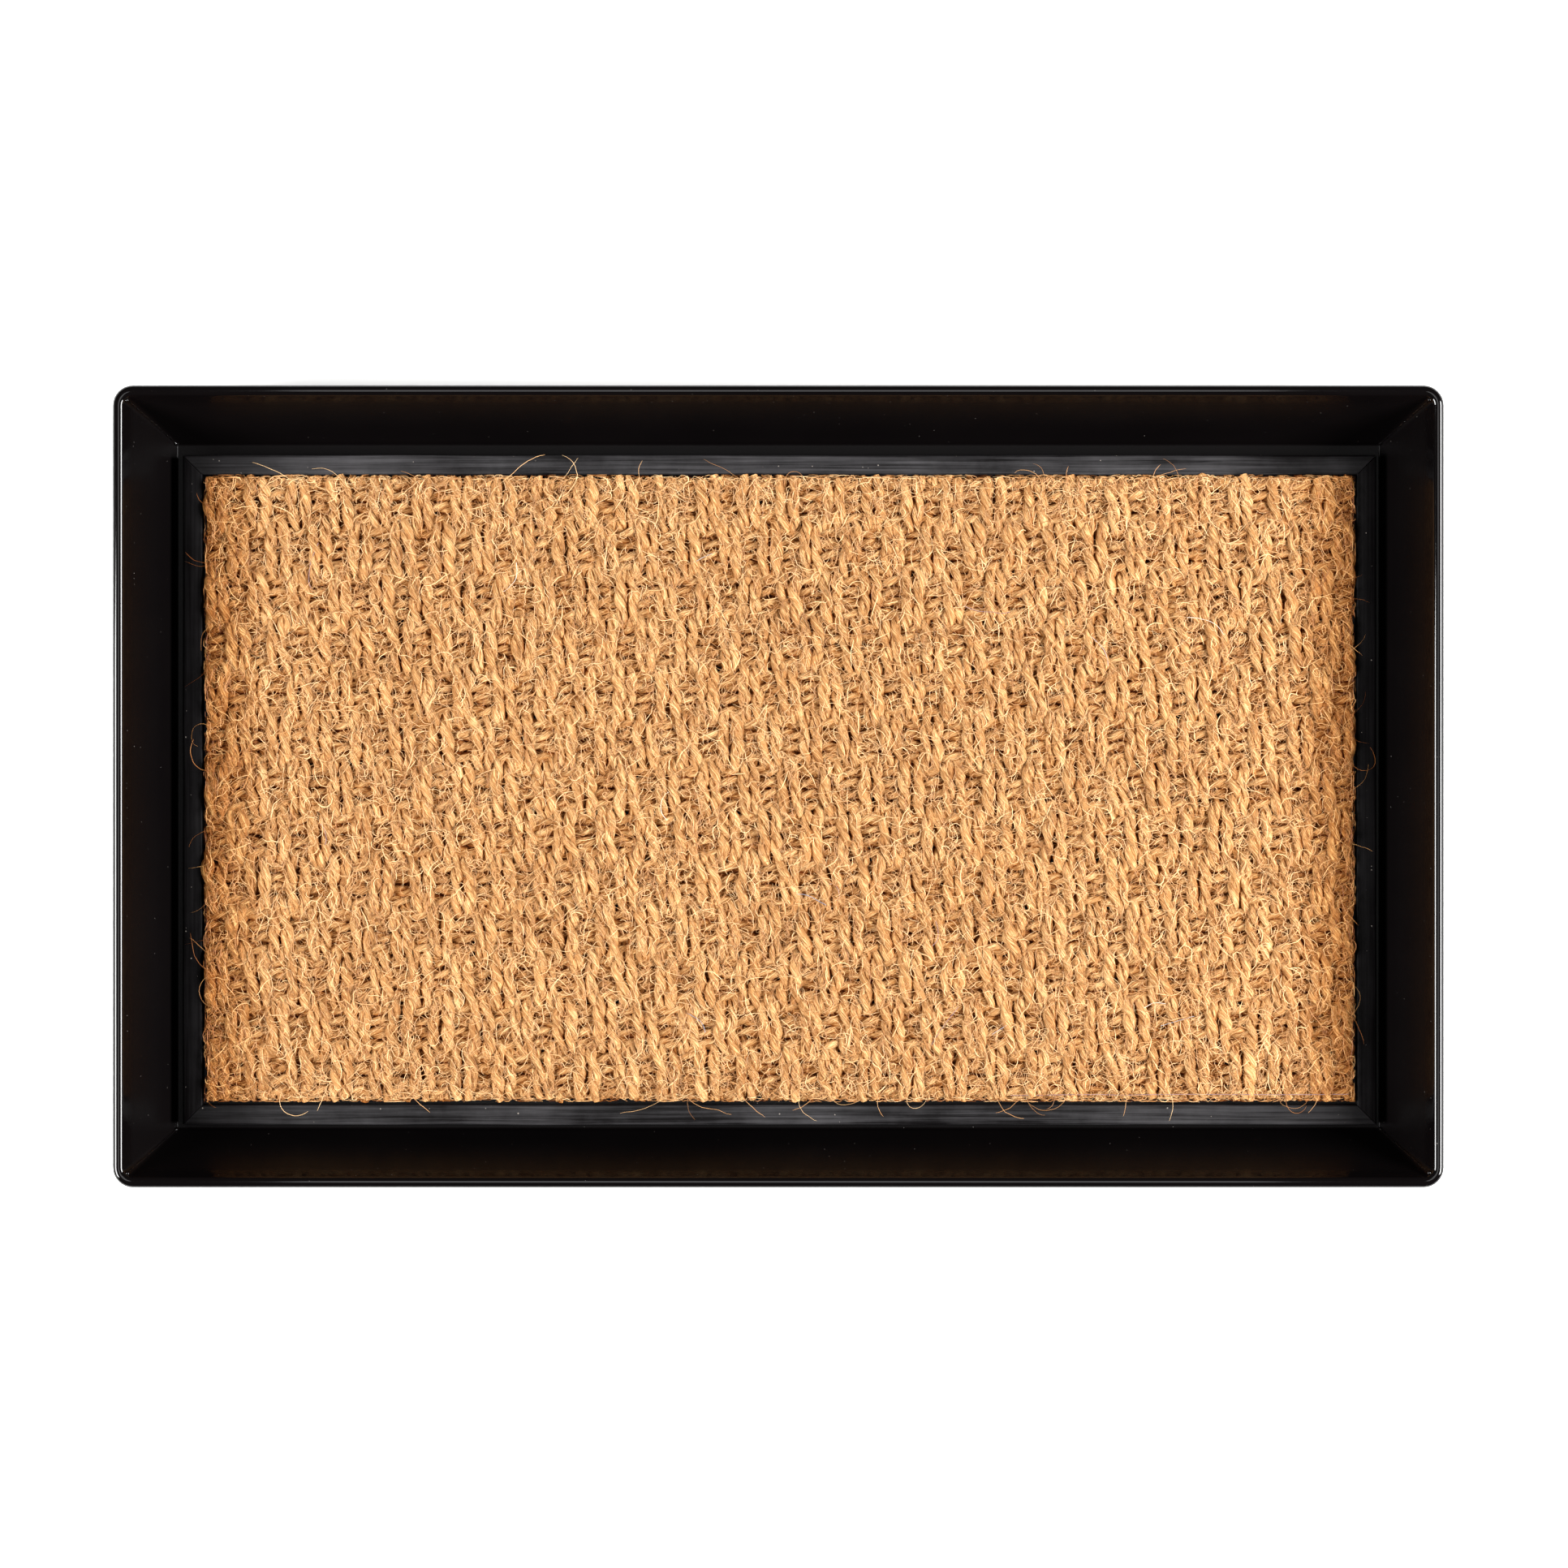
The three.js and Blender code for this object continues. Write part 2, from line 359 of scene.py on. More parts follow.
def black_paint(name, gloss_from):
    """Satin black spray paint with a haze and dust, glossy above the height gloss_from."""
    material, tree, shader = new_material(name, IOR=1.45)
    shader.inputs["Specular IOR Level"].default_value = PAINT_SHEEN
    place = add_node(tree, "TexCoord").outputs["Object"]
    haze = cloudy(tree, place, 14.0, 5.0, 0.6)
    specks = place_group(tree, DUST, {"Vector": place, **PAINT_SPECKS}).outputs["Mask"]
    ground = mix_colours(tree, haze, PAINT_BLACK, PAINT_HAZE)
    tree.links.new(mix_colours(tree, specks, ground, PAINT_DUST), shader.inputs["Base Color"])

    height = add_node(tree, "SeparateXYZ", {"Vector": place}).outputs["Z"]
    rubbed_from, rubbed_to = (tray_high[2] - depth for depth in RUBBED_DEPTHS)
    rubbed = rescaled(tree, height, rubbed_from, rubbed_to, *RUBBED_ROUGHNESS)
    rough = math(tree, "MULTIPLY_ADD", haze, 0.05, rubbed)
    tree.links.new(math(tree, "MAXIMUM", rough, specks), shader.inputs["Roughness"])
    gloss = rescaled(tree, height, gloss_from, gloss_from + GLOSS_FADE, 0.0, RIM_GLOSS)
    tree.links.new(gloss, shader.inputs["Coat Weight"])
    shader.inputs["Coat Roughness"].default_value = 0.06
    add_bump(tree, shader, cloudy(tree, place, 700.0, 2.0), 0.12, 0.0002)
    return material


BLACK_PAINT = black_paint("satin_black_paint", tray_high[2] - GLOSS_DEPTH)

fold_outside, fold_inside = fold_profile(BEND_RADIUS + SHEET), fold_profile(BEND_RADIUS)[::-1]
curl_inner_face, curl_outer_face = curl_profile(curl_inside), curl_profile(curl_outside)[::-1]
pan_section = [
    *fold_outside,
    *wall_profile(fold_outside[-1], curl_inner_face[0]),
    *curl_inner_face,
    *curl_outer_face,
    *wall_profile(curl_outer_face[-1], fold_inside[0]),
    *fold_inside,
]
pan = object_from(swept_round_tray(pan_section), "pan_with_rolled_rim", BLACK_PAINT, smooth_below=50)
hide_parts("tray_pan")
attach(pan, "tray")

# -----------------------------------------------------------------------------
# Rim wire: a galvanised steel wire, shut inside the rolled rim and seen only along the roll's open
# edge.
SPANGLES_PER_METRE = 260.0
ZINC_PALE = (0.5, 0.51, 0.52, 1)
ZINC_DARK = (0.36, 0.37, 0.38, 1)


def galvanised():
    """Zinc-coated steel with faint grains."""
    material, tree, shader = new_material("galvanised_steel", Metallic=1.0)
    place = add_node(tree, "TexCoord").outputs["Object"]
    grains = add_node(tree, "TexVoronoi", {"Vector": place, "Scale": SPANGLES_PER_METRE})
    spangle = grains.outputs["Distance"]
    tree.links.new(mix_colours(tree, spangle, ZINC_PALE, ZINC_DARK), shader.inputs["Base Color"])
    tree.links.new(math(tree, "MULTIPLY_ADD", spangle, 0.25, 0.35), shader.inputs["Roughness"])
    return material


rim_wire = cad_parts["rim_wire"]
rim_wire.data.materials.clear()
rim_wire.data.materials.append(galvanised())

# -----------------------------------------------------------------------------
# Corner welds: the pan's walls are joined up each corner by a thin run of weld, painted over with the
# tray, which starts and ends in a small blob.
WELD_RADIUS = 0.00035
WELD_BLOB_RADIUS = 0.0011
WELD_STEPS = 60
WELD_RIPPLE = 0.22
WELD_RIPPLE_LIMITS = (0.5, 1.6)
WELD_WANDER = 0.00012
TOP_BLOB = (0.6, 1.0, 0.7)
FOOT_BLOB = (0.7, 0.9, 0.5)
TUBE_END = 1e-5


def tubes(name, paths, radii, sides, material, lowest=0.0):
    """Round bars along many paths, as one closed mesh. Paths and radii hold one row a bar, with a radius
    for each point. What would reach below lowest is pressed flat there."""
    section = bpy.data.curves.new(name + "_section", "CURVE")
    ring = section.splines.new("POLY")
    ring.points.add(sides - 1)
    ring.use_cyclic_u = True
    for k, point in enumerate(ring.points):
        angle = -2 * np.pi * k / sides
        point.co = (np.cos(angle), np.sin(angle), 0, 1)
    section_object = new_object(name + "_section", section)

    runs = (paths[:, 0] - paths[:, 1], paths[:, -1] - paths[:, -2])
    tips = [run / np.linalg.norm(run, axis=1, keepdims=True) * TUBE_END for run in runs]
    first, last = paths[:, 0] + tips[0], paths[:, -1] + tips[1]
    paths = np.concatenate([first[:, None], paths, last[:, None]], axis=1)
    radii = np.pad(radii, ((0, 0), (1, 1)))

    curve = bpy.data.curves.new(name, "CURVE")
    curve.dimensions = "3D"
    curve.bevel_mode = "OBJECT"
    curve.bevel_object = section_object
    for path, radius in zip(paths, radii):
        spline = curve.splines.new("POLY")
        spline.points.add(len(path) - 1)
        spline.points.foreach_set("co", np.pad(path, ((0, 0), (0, 1)), constant_values=1).ravel())
        spline.points.foreach_set("radius", radius)
    curve_object = new_object(name + "_curve", curve)
    evaluated = curve_object.evaluated_get(bpy.context.evaluated_depsgraph_get())
    mesh = bpy.data.meshes.new_from_object(evaluated)
    for spare in (curve_object, section_object):
        bpy.data.objects.remove(spare)

    bm = bmesh.new()
    bm.from_mesh(mesh)
    bpy.data.meshes.remove(mesh)
    bmesh.ops.remove_doubles(bm, verts=bm.verts, dist=TUBE_END / 10)
    for vert in bm.verts:
        vert.co.z = max(vert.co.z, lowest)
    bmesh.ops.recalc_face_normals(bm, faces=bm.faces)
    return object_from(bm, name, material, smooth_below=75)


def weld_paths():
    """A line down the inside of each corner, from the rim to the fold."""
    paths = []
    for corner in range(4):
        angle = np.radians(90 * corner + 45)
        outwards = Vector((np.cos(angle), np.sin(angle), 0))
        ends = []
        for inset, radius, height in (curl_outer_face[-1], fold_inside[0]):
            end = corner_centre(corner, inset + radius) + outwards * radius
            ends.append(end + Vector((0, 0, height)))
        shares = np.linspace(0, 1, WELD_STEPS)[:, None]
        paths.append(np.array(ends[0]) * (1 - shares) + np.array(ends[1]) * shares)
    return np.array(paths)


weld_random = np.random.default_rng(11)
weld_lines = weld_paths()
weld_ripple = weld_random.normal(1, WELD_RIPPLE, weld_lines.shape[:2])
weld_radii = WELD_RADIUS * np.clip(weld_ripple, *WELD_RIPPLE_LIMITS)
weld_radii[:, : len(TOP_BLOB)] = WELD_BLOB_RADIUS * np.array(TOP_BLOB)
weld_radii[:, -len(FOOT_BLOB) :] = WELD_BLOB_RADIUS * np.array(FOOT_BLOB)
weld_lines += weld_random.normal(0, WELD_WANDER, weld_lines.shape)
welds = tubes("corner_welds", weld_lines, weld_radii, 8, black_paint("paint_on_welds", 0.0))
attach(welds, "tray")

# -----------------------------------------------------------------------------
# Rubber base: a sheet of black rubber, cut a little unevenly, that carries the frame and the coir. It
# shows in the groove between them, and from below when the mat is lifted.
BASE_EDGE_ROUND = 0.0003
BASE_CUT_WAVE = 0.0002
BASE_CUTS = (60, 34)
END_SHADE_FROM = 0.2
SCUFF_THRESHOLDS = (0.16, 0.40)
RUBBER_BLACK = (0.0018, 0.0015, 0.0016, 1)
RUBBER_SCUFF_AND_LIGHT = (0.033, 0.0315, 0.033, 1)
RUBBER_DUST = (0.13, 0.115, 0.10, 1)
RUBBER_SPECKS = {"Cells per metre": 380.0, "Share": 0.22, "Size": 0.14}


def rubber_material(name, across, scuff_and_light_share, gloss):
    """Matt black rubber with streaks, pale scuffs and dust. across is the scale of the streaks along each
    axis. The pale is partly painted light, and fades out towards the ends of the mat as painted shade."""
    material, tree, shader = new_material(name)
    shader.inputs["Specular IOR Level"].default_value = gloss
    place = add_node(tree, "TexCoord").outputs["Object"]
    stretched = add_node(tree, "Mapping", {"Vector": place, "Scale": across}).outputs["Vector"]
    streaks = cloudy(tree, stretched, 1.0, 4.0, 0.65)
    clouds = cloudy(tree, place, 11.0, 7.0, 0.66)
    specks = place_group(tree, DUST, {"Vector": place, **RUBBER_SPECKS}).outputs["Mask"]

    bloom = rescaled(tree, math(tree, "MULTIPLY", streaks, clouds), *SCUFF_THRESHOLDS)
    # Painted shade: the pale fades to nothing towards the ends of the mat, where the end walls shade it.
    from_middle = math(tree, "ABSOLUTE", add_node(tree, "SeparateXYZ", {"Vector": place}).outputs["X"])
    share = rescaled(tree, from_middle, END_SHADE_FROM, half_length, scuff_and_light_share, 0.0)
    ground = mix_colours(tree, math(tree, "MULTIPLY", bloom, share), RUBBER_BLACK, RUBBER_SCUFF_AND_LIGHT)
    tree.links.new(mix_colours(tree, specks, ground, RUBBER_DUST), shader.inputs["Base Color"])
    tree.links.new(math(tree, "MULTIPLY_ADD", bloom, 0.15, 0.36), shader.inputs["Roughness"])

    relief = math(tree, "MULTIPLY_ADD", cloudy(tree, place, 1500.0, 2.0), 0.35, streaks)
    add_bump(tree, shader, relief, 0.35, 0.0002)
    return material


def waver(bm, amount, waves_per_metre, seed):
    """Moves every vertex a little sideways, as hand-cut rubber lies."""
    for vert in bm.verts:
        shift = noise.noise_vector(vert.co * waves_per_metre + Vector((seed, 0, 0)))
        vert.co += Vector((shift.x, shift.y, 0)) * amount


RUBBER_SHEET = rubber_material("rubber_sheet", (60, 60, 60), 0.3, 0.1)

base_low, base_high = (Vector(corner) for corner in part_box("rubber_base"))
base_mesh = bmesh.new()
bmesh.ops.create_grid(base_mesh, x_segments=BASE_CUTS[0], y_segments=BASE_CUTS[1], size=0.5)
bmesh.ops.scale(base_mesh, verts=base_mesh.verts, vec=base_high - base_low)
bmesh.ops.translate(base_mesh, verts=base_mesh.verts, vec=(base_low + base_high) / 2)
for vert in base_mesh.verts:
    vert.co.z = base_low.z
base_sides = bmesh.ops.extrude_face_region(base_mesh, geom=base_mesh.faces[:])["geom"]
for item in base_sides:
    if isinstance(item, bmesh.types.BMVert):
        item.co.z = base_high.z
bmesh.ops.recalc_face_normals(base_mesh, faces=base_mesh.faces)
rim_edges = [e for e in base_mesh.edges if e.calc_face_angle(0) > 1]
bmesh.ops.bevel(
    base_mesh,
    geom=rim_edges,
    offset=BASE_EDGE_ROUND,
    affect="EDGES",
    segments=2,
    profile=0.5,
    material=-1,
)
waver(base_mesh, BASE_CUT_WAVE, waves_per_metre=30, seed=3)
base = object_from(base_mesh, "base_sheet", RUBBER_SHEET, smooth_below=40)
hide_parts("rubber_base")
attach(base, "mat")

# -----------------------------------------------------------------------------
# Rubber frame: four strips of black rubber bar with rounded top edges, mitred at the corners and
# stuck to the base. They are extruded, so fine streaks run along them, and their tops are scuffed
# pale; the pale is partly painted light, and less of it on the short strips is painted shade.
STRIP_EDGE_ROUND = 0.0011
STRIP_CROWN = 0.00025
STRIP_STEPS = {"long": 90, "short": 52}
STRIP_WAVE = 0.00028

# The short strips by the end walls get less pale than the long ones: painted shade, as the walls shade
# them.
RUBBER_LENGTHWISE = rubber_material("rubber_lengthwise", (12, 700, 60), 1.0, 0.08)
RUBBER_CROSSWISE_SHADED = rubber_material("rubber_crosswise", (700, 12, 60), 0.6, 0.02)


def strip_section(width, height):
    """A bar with rounded top edges and a slightly crowned top: distance from its inner edge, height."""
    points = [(0, 0)]
    inner_centre = (STRIP_EDGE_ROUND, height - STRIP_EDGE_ROUND)
    points += arc_points(inner_centre, STRIP_EDGE_ROUND, np.pi, np.pi / 2, 4)
    for share in (0.3, 0.5, 0.7):
        points.append((width * share, height + STRIP_CROWN * np.sin(np.pi * share)))
    outer_centre = (width - STRIP_EDGE_ROUND, height - STRIP_EDGE_ROUND)
    points += arc_points(outer_centre, STRIP_EDGE_ROUND, np.pi / 2, 0, 4)
    return points + [(width, 0)]


def frame_strip(side, outwards, kind, material, seed):
    """Extrudes the section from mitre to mitre. outwards is the way the strip's outer edge faces."""
    low, high = (Vector(corner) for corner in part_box("frame_strip_" + side))
    middle, size = (low + high) / 2, high - low
    along = Vector((abs(outwards.y), abs(outwards.x), 0))
    across = Vector((abs(outwards.x), abs(outwards.y), 0))
    half_run, width = size.dot(along) / 2, size.dot(across)
    section = strip_section(width, size.z - STRIP_CROWN)
    ring_mesh = bmesh.new()
    ring = bmesh.ops.create_circle(ring_mesh, cap_ends=True, segments=len(section), radius=1)["verts"]
    steps = STRIP_STEPS[kind]
    for step in range(steps + 1):
        if step:
            ring = next_ring(ring_mesh, ring)
        share = 2 * step / steps - 1
        for vert, (out, up) in zip(ring, section):
            run = share * (half_run - (width - out))
            vert.co = middle + along * run + outwards * (out - width / 2)
            vert.co.z = low.z + up
    bmesh.ops.edgeloop_fill(ring_mesh, edges=ring_edges(ring))
    bmesh.ops.recalc_face_normals(ring_mesh, faces=ring_mesh.faces)
    waver(ring_mesh, STRIP_WAVE, waves_per_metre=22, seed=seed)
    strip = object_from(ring_mesh, side + "_strip", material, smooth_below=50)
    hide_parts("frame_strip_" + side)
    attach(strip, "mat")


frame_strip("front", Vector((0, -1, 0)), "long", RUBBER_LENGTHWISE, 5)
frame_strip("back", Vector((0, 1, 0)), "long", RUBBER_LENGTHWISE, 6)
frame_strip("left", Vector((-1, 0, 0)), "short", RUBBER_CROSSWISE_SHADED, 7)
frame_strip("right", Vector((1, 0, 0)), "short", RUBBER_CROSSWISE_SHADED, 8)

# -----------------------------------------------------------------------------
# Coir weft: bundles of four two-ply coir yarns that run the length of the cloth. The warp covers most
# of them; between its floats they show as short, shaded stretches of yarn. The pairs named WANDER,
# LIFT, LUMPS and DRIFT are the number of knots and the spread of a smooth random curve.
WEFT_ROWS = 13
WARP_COLUMNS = 56
WEFT_YARNS = 4
WEFT_YARN_SPACING = 0.0054
WEFT_CRIMP = 0.0006
WEFT_RISE = 0.0003
WEFT_FULLNESS = 1.1
WEFT_WANDER = (60, 0.0004)
WEFT_LIFT = (60, 0.0003)
WEFT_LUMPS = (110, 0.1)
FLOAT_STIFFNESS = 1.7
FLOAT_BIAS = 0.5
PLY_RADIUS = 0.00185
PLY_SIDES = 6
SWING_SIDEWAYS = 0.0014
SWING_UP = 0.0009
TWIST_LENGTH = 0.0205
TWIST_DRIFT = (14, 0.7)
WEFT_STEP = 0.0033
STREAK_LENGTH = 0.005
STREAK_WIDTH = 0.0005
STREAK_SLANT = np.radians(18)
CREVICE_REACH = 0.0025
CREVICE_GAMMA = 1.45
CREVICE_TINT = (1.0, 0.70, 0.42, 1)
CREVICE_OPENNESS = (0.3, 0.85)
COIR_TONES = ((0.15, 0.042, 0.007, 1), (0.39, 0.195, 0.071, 1), (0.68, 0.45, 0.215, 1))
COIR_MIDDLE_TONE = 0.4

cloth_low, cloth_high = (np.array(corner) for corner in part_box("coir_warp"))
cloth_middle = (cloth_low + cloth_high) / 2
cloth_length = cloth_high[0] - cloth_low[0]
cloth_width = cloth_high[1] - cloth_low[1]
column_pitch = cloth_length / WARP_COLUMNS
row_pitch = cloth_width / WEFT_ROWS
coir_random = np.random.default_rng(23)


def over_and_under(across_rows, column):
    """How high a column's warp lies, from -1 under the weft to 1 over it, at a place counted in rows."""
    wave = np.cos(np.pi * (across_rows + column)) + FLOAT_BIAS
    return np.tanh(FLOAT_STIFFNESS * wave)


def smooth_random(random, count, points, knots, spread):
    """Rows of smooth random curves: values at a few knots, joined by a cosine."""
    values = random.normal(0, spread, (count, knots))
    at = np.linspace(0, knots - 1, points)
    left = np.minimum(at.astype(int), knots - 2)
    share = (1 - np.cos(np.pi * (at - left))) / 2
    return values[:, left] * (1 - share) + values[:, left + 1] * share


def two_plies(axis, sideways, twist_start, random):
    """The two plies that twist round each yarn's axis. axis is yarns x points x 3."""
    ahead = np.gradient(axis, axis=1)
    steps = np.linalg.norm(ahead, axis=2)
    ahead /= steps[:, :, None]
    up = np.cross(ahead, sideways)
    up *= np.sign(up[:, :, 2:])
    drift = smooth_random(random, len(axis), axis.shape[1], *TWIST_DRIFT)
    turn = 2 * np.pi * np.cumsum(steps, axis=1) / TWIST_LENGTH + twist_start[:, None] + drift
    plies = []
    for half_turn in (0, np.pi):
        swing = turn + half_turn
        across = SWING_SIDEWAYS * np.cos(swing)[:, :, None] * sideways
        rise = SWING_UP * np.sin(swing)[:, :, None] * up
        plies.append(axis + (across + rise))
    return np.concatenate(plies)


def coir_painted_shade_group():
    """Painted shade for coir: how much light its colour shows, darker down in the weave and at both ends
    of the cloth, where the end walls shade it, palest on the floats.
    """
    sockets = {"Deep": 0.0, "Top": 1.0, "Darkest": 0.4, "End": 1.0, "Shade from": 0.9, "End light": 0.74}
    group, ins, outs = new_group("coir_painted_shade", sockets, ["Light"])
    place = add_node(group, "TexCoord").outputs["Object"]
    axes = add_node(group, "SeparateXYZ", {"Vector": place}).outputs
    deep, top, darkest, end, end_shade_from, end_light = (ins.outputs[socket] for socket in sockets)
    by_depth = rescaled(group, axes["Z"], deep, top, darkest, 1.0)
    by_end = rescaled(group, math(group, "ABSOLUTE", axes["X"]), end_shade_from, end, 1.0, end_light)
    group.links.new(math(group, "MULTIPLY", by_depth, by_end), outs.inputs["Light"])
    return group


COIR_PAINTED_SHADE = coir_painted_shade_group()
# Painted shade: the coir darkens over this far at each end of the cloth, where the tray's end walls shade
# it, and down in the weave.
SHADED_ENDS = 0.028
COIR_SHADE_LEVELS = {
    "Deep": float(cloth_middle[2]) - 0.001,
    "Top": float(cloth_high[2]) - 0.0018,
    "End": float(cloth_length) / 2,
    "Shade from": float(cloth_length) / 2 - SHADED_ENDS,
}


def with_painted_shade(tree, colour, light):
    """Paints shade into a coir colour: darker and redder where little light gets in between the fibres.
    """
    gamma = math(tree, "MULTIPLY_ADD", light, -CREVICE_GAMMA, 1 + CREVICE_GAMMA)
    darker = add_node(tree, "Gamma", {"Color": colour, "Gamma": gamma}).outputs["Color"]
    shade = math(tree, "SUBTRACT", 1.0, light, clamp=True)
    return mix_colours(tree, shade, darker, CREVICE_TINT, blend_type="MULTIPLY")


def coir_material(name, ply_length):
    """Coir yarn: golden brown fibres laid along each ply, and each ply a little lighter or darker, with
    painted shade in its crevices, down in the weave and near both ends.
    """
    material, tree, shader = new_material(name, Roughness=0.75)
    shader.inputs["Specular IOR Level"].default_value = 0.06
    places = add_node(tree, "TexCoord").outputs
    ply_size = (ply_length, 2 * np.pi * PLY_RADIUS, 1.0)
    flat = add_node(tree, "Mapping", {"Vector": places["UV"], "Scale": ply_size}).outputs["Vector"]
    slant = {"Vector": flat, "Rotation": (0, 0, STREAK_SLANT)}
    slanted = add_node(tree, "Mapping", slant).outputs["Vector"]
    stretch = {"Vector": slanted, "Scale": (1 / STREAK_LENGTH, 1 / STREAK_WIDTH, 1.0)}
    streaks = add_node(tree, "Mapping", stretch).outputs["Vector"]
    island = add_node(tree, "NewGeometry").outputs["Random Per Island"]
    spread = add_node(tree, "CombineXYZ", {"Z": math(tree, "MULTIPLY", island, 90.0)}).outputs["Vector"]
    shifted = add_node(tree, "VectorMath", {0: streaks, 1: spread}, operation="ADD").outputs["Vector"]

    fibres = cloudy(tree, shifted, 1.0, 3.0, 0.65)
    fibre_tone = rescaled(tree, fibres, 0.34, 0.66)
    patch_tone = rescaled(tree, cloudy(tree, places["Object"], 75.0, 3.0), 0.3, 0.7)
    hairs = math(tree, "ABSOLUTE", math(tree, "SUBTRACT", fibres, 0.5))
    tone = math(tree, "MULTIPLY", fibre_tone, rescaled(tree, hairs, 0.0, 0.05, 0.25, 0.7))
    tone = math(tree, "MULTIPLY_ADD", patch_tone, 0.2, tone)
    tone = math(tree, "MULTIPLY_ADD", island, 0.15, tone)
    colour = three_tones(tree, tone, COIR_TONES, COIR_MIDDLE_TONE)

    # Painted shade: ambient occlusion darkens the colour in the crevices, and height and nearness to the
    # cloth's ends darken it too.
    depth = place_group(tree, COIR_PAINTED_SHADE, COIR_SHADE_LEVELS)
    crevice_shade = add_node(tree, "AmbientOcclusion", {"Distance": CREVICE_REACH}, samples=4, only_local=True)
    opened = rescaled(tree, crevice_shade.outputs["AO"], *CREVICE_OPENNESS)
    lit = math(tree, "MULTIPLY", opened, depth.outputs["Light"])
    tree.links.new(with_painted_shade(tree, colour, lit), shader.inputs["Base Color"])
    add_bump(tree, shader, fibres, 1.0, 0.002)
    return material


COIR_WEFT = coir_material("coir_weft_yarn", cloth_length)
weft_plies = []
for row in range(WEFT_ROWS):
    row_y = cloth_low[1] + (row + 0.5) * row_pitch
    points = int(cloth_length / WEFT_STEP)
    x = np.linspace(cloth_low[0], cloth_high[0], points)
    across_columns = (x - cloth_low[0]) / column_pitch - 0.5
    crimp = -WEFT_CRIMP * np.cos(np.pi * (across_columns + row))
    axis = np.empty((WEFT_YARNS, points, 3))
    axis[:, :, 0] = x
    axis[:, :, 1] = row_y + WEFT_YARN_SPACING * (np.arange(WEFT_YARNS)[:, None] - (WEFT_YARNS - 1) / 2)
    axis[:, :, 1] += smooth_random(coir_random, WEFT_YARNS, points, *WEFT_WANDER)
    axis[:, :, 2] = cloth_middle[2] + WEFT_RISE + crimp
    axis[:, :, 2] += smooth_random(coir_random, WEFT_YARNS, points, *WEFT_LIFT)
    starts = coir_random.uniform(0, 2 * np.pi, WEFT_YARNS)
    paths = two_plies(axis, np.array([0, -1.0, 0]), starts, coir_random)
    lumps = smooth_random(coir_random, len(paths), points, *WEFT_LUMPS)
    radii = PLY_RADIUS * (WEFT_FULLNESS + lumps)
    name = f"weft_{row + 1:02d}"
    weft = tubes(name, paths, radii, PLY_SIDES, COIR_WEFT, lowest=cloth_low[2])
    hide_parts(f"coir_{name}")
    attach(weft, "mat")
    weft_plies.append(paths)

# -----------------------------------------------------------------------------
# Coir warp: 56 pairs of two-ply coir yarns that run across the cloth, over one weft bundle and under
# the next. The even pairs rise where the odd ones dive. Each float leans a little, as S-twisted yarn
# does.
STRAND_OFFSET = 0.00235
STRAND_SPREAD = 0.0003
FLOAT_PUFF = 0.13
FLOAT_LEAN = 0.0003
WARP_STEP = 0.0024
WARP_SWING = 0.0028
WARP_FALL = 0.0005
WARP_FULLNESS = 1.02
PAIR_WANDER = (20, 0.0005)
GAP_WANDER = (27, 0.14)
STRAND_WANDER = (27, 0.0005)
STRAND_LIFT = (27, 0.0004)
FINE_LUMPS = (85, 0.15)
COARSE_LUMPS = (14, 0.08)
CUT_UNEVENNESS = 0.0009

COIR_WARP = coir_material("coir_warp_yarn", cloth_width)


def warp_axes(columns, random):
    """The middle lines of a set of warp yarns, two a column."""
    points = int(cloth_width / WARP_STEP)
    column = np.repeat(columns, 2)
    ends = random.uniform(-CUT_UNEVENNESS, CUT_UNEVENNESS, (2, len(column)))
    y = np.linspace(cloth_low[1] + ends[0], cloth_high[1] + ends[1], points, axis=1)
    across_rows = (y - cloth_low[1]) / row_pitch - 0.5
    side = np.tile([-1, 1], len(columns))
    rise = over_and_under(across_rows, column[:, None])
    lean = -FLOAT_LEAN * np.sin(np.pi * (across_rows + column[:, None]))
    wander = smooth_random(random, len(columns), points, *PAIR_WANDER).repeat(2, axis=0)
    axis = np.empty((len(column), points, 3))
    axis[:, :, 0] = cloth_low[0] + (column[:, None] + 0.5) * column_pitch + lean + wander
    apart = 1 + smooth_random(random, len(columns), points, *GAP_WANDER).repeat(2, axis=0)
    axis[:, :, 0] += side[:, None] * apart * (STRAND_OFFSET + STRAND_SPREAD * rise)
    axis[:, :, 0] += smooth_random(random, len(column), points, *STRAND_WANDER)
    axis[:, :, 1] = y
    axis[:, :, 2] = cloth_middle[2] - WARP_FALL + WARP_SWING * rise
    axis[:, :, 2] += smooth_random(random, len(column), points, *STRAND_LIFT)
    return axis, rise


warp_plies = []
for name, first in (("even", 0), ("odd", 1)):
    axis, rise = warp_axes(np.arange(first, WARP_COLUMNS, 2), coir_random)
    starts = coir_random.uniform(0, 2 * np.pi, len(axis))
    paths = two_plies(axis, np.array([1.0, 0, 0]), starts, coir_random)
    unevenness = smooth_random(coir_random, len(paths), axis.shape[1], *FINE_LUMPS)
    unevenness += smooth_random(coir_random, len(paths), axis.shape[1], *COARSE_LUMPS)
    radii = PLY_RADIUS * (WARP_FULLNESS + FLOAT_PUFF * np.tile(rise, (2, 1)) + unevenness)
    warp = tubes(f"warp_{name}_pairs", paths, radii, PLY_SIDES, COIR_WARP, lowest=cloth_low[2])
    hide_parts("coir_warp")
    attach(warp, "mat")
    warp_plies.append(paths)

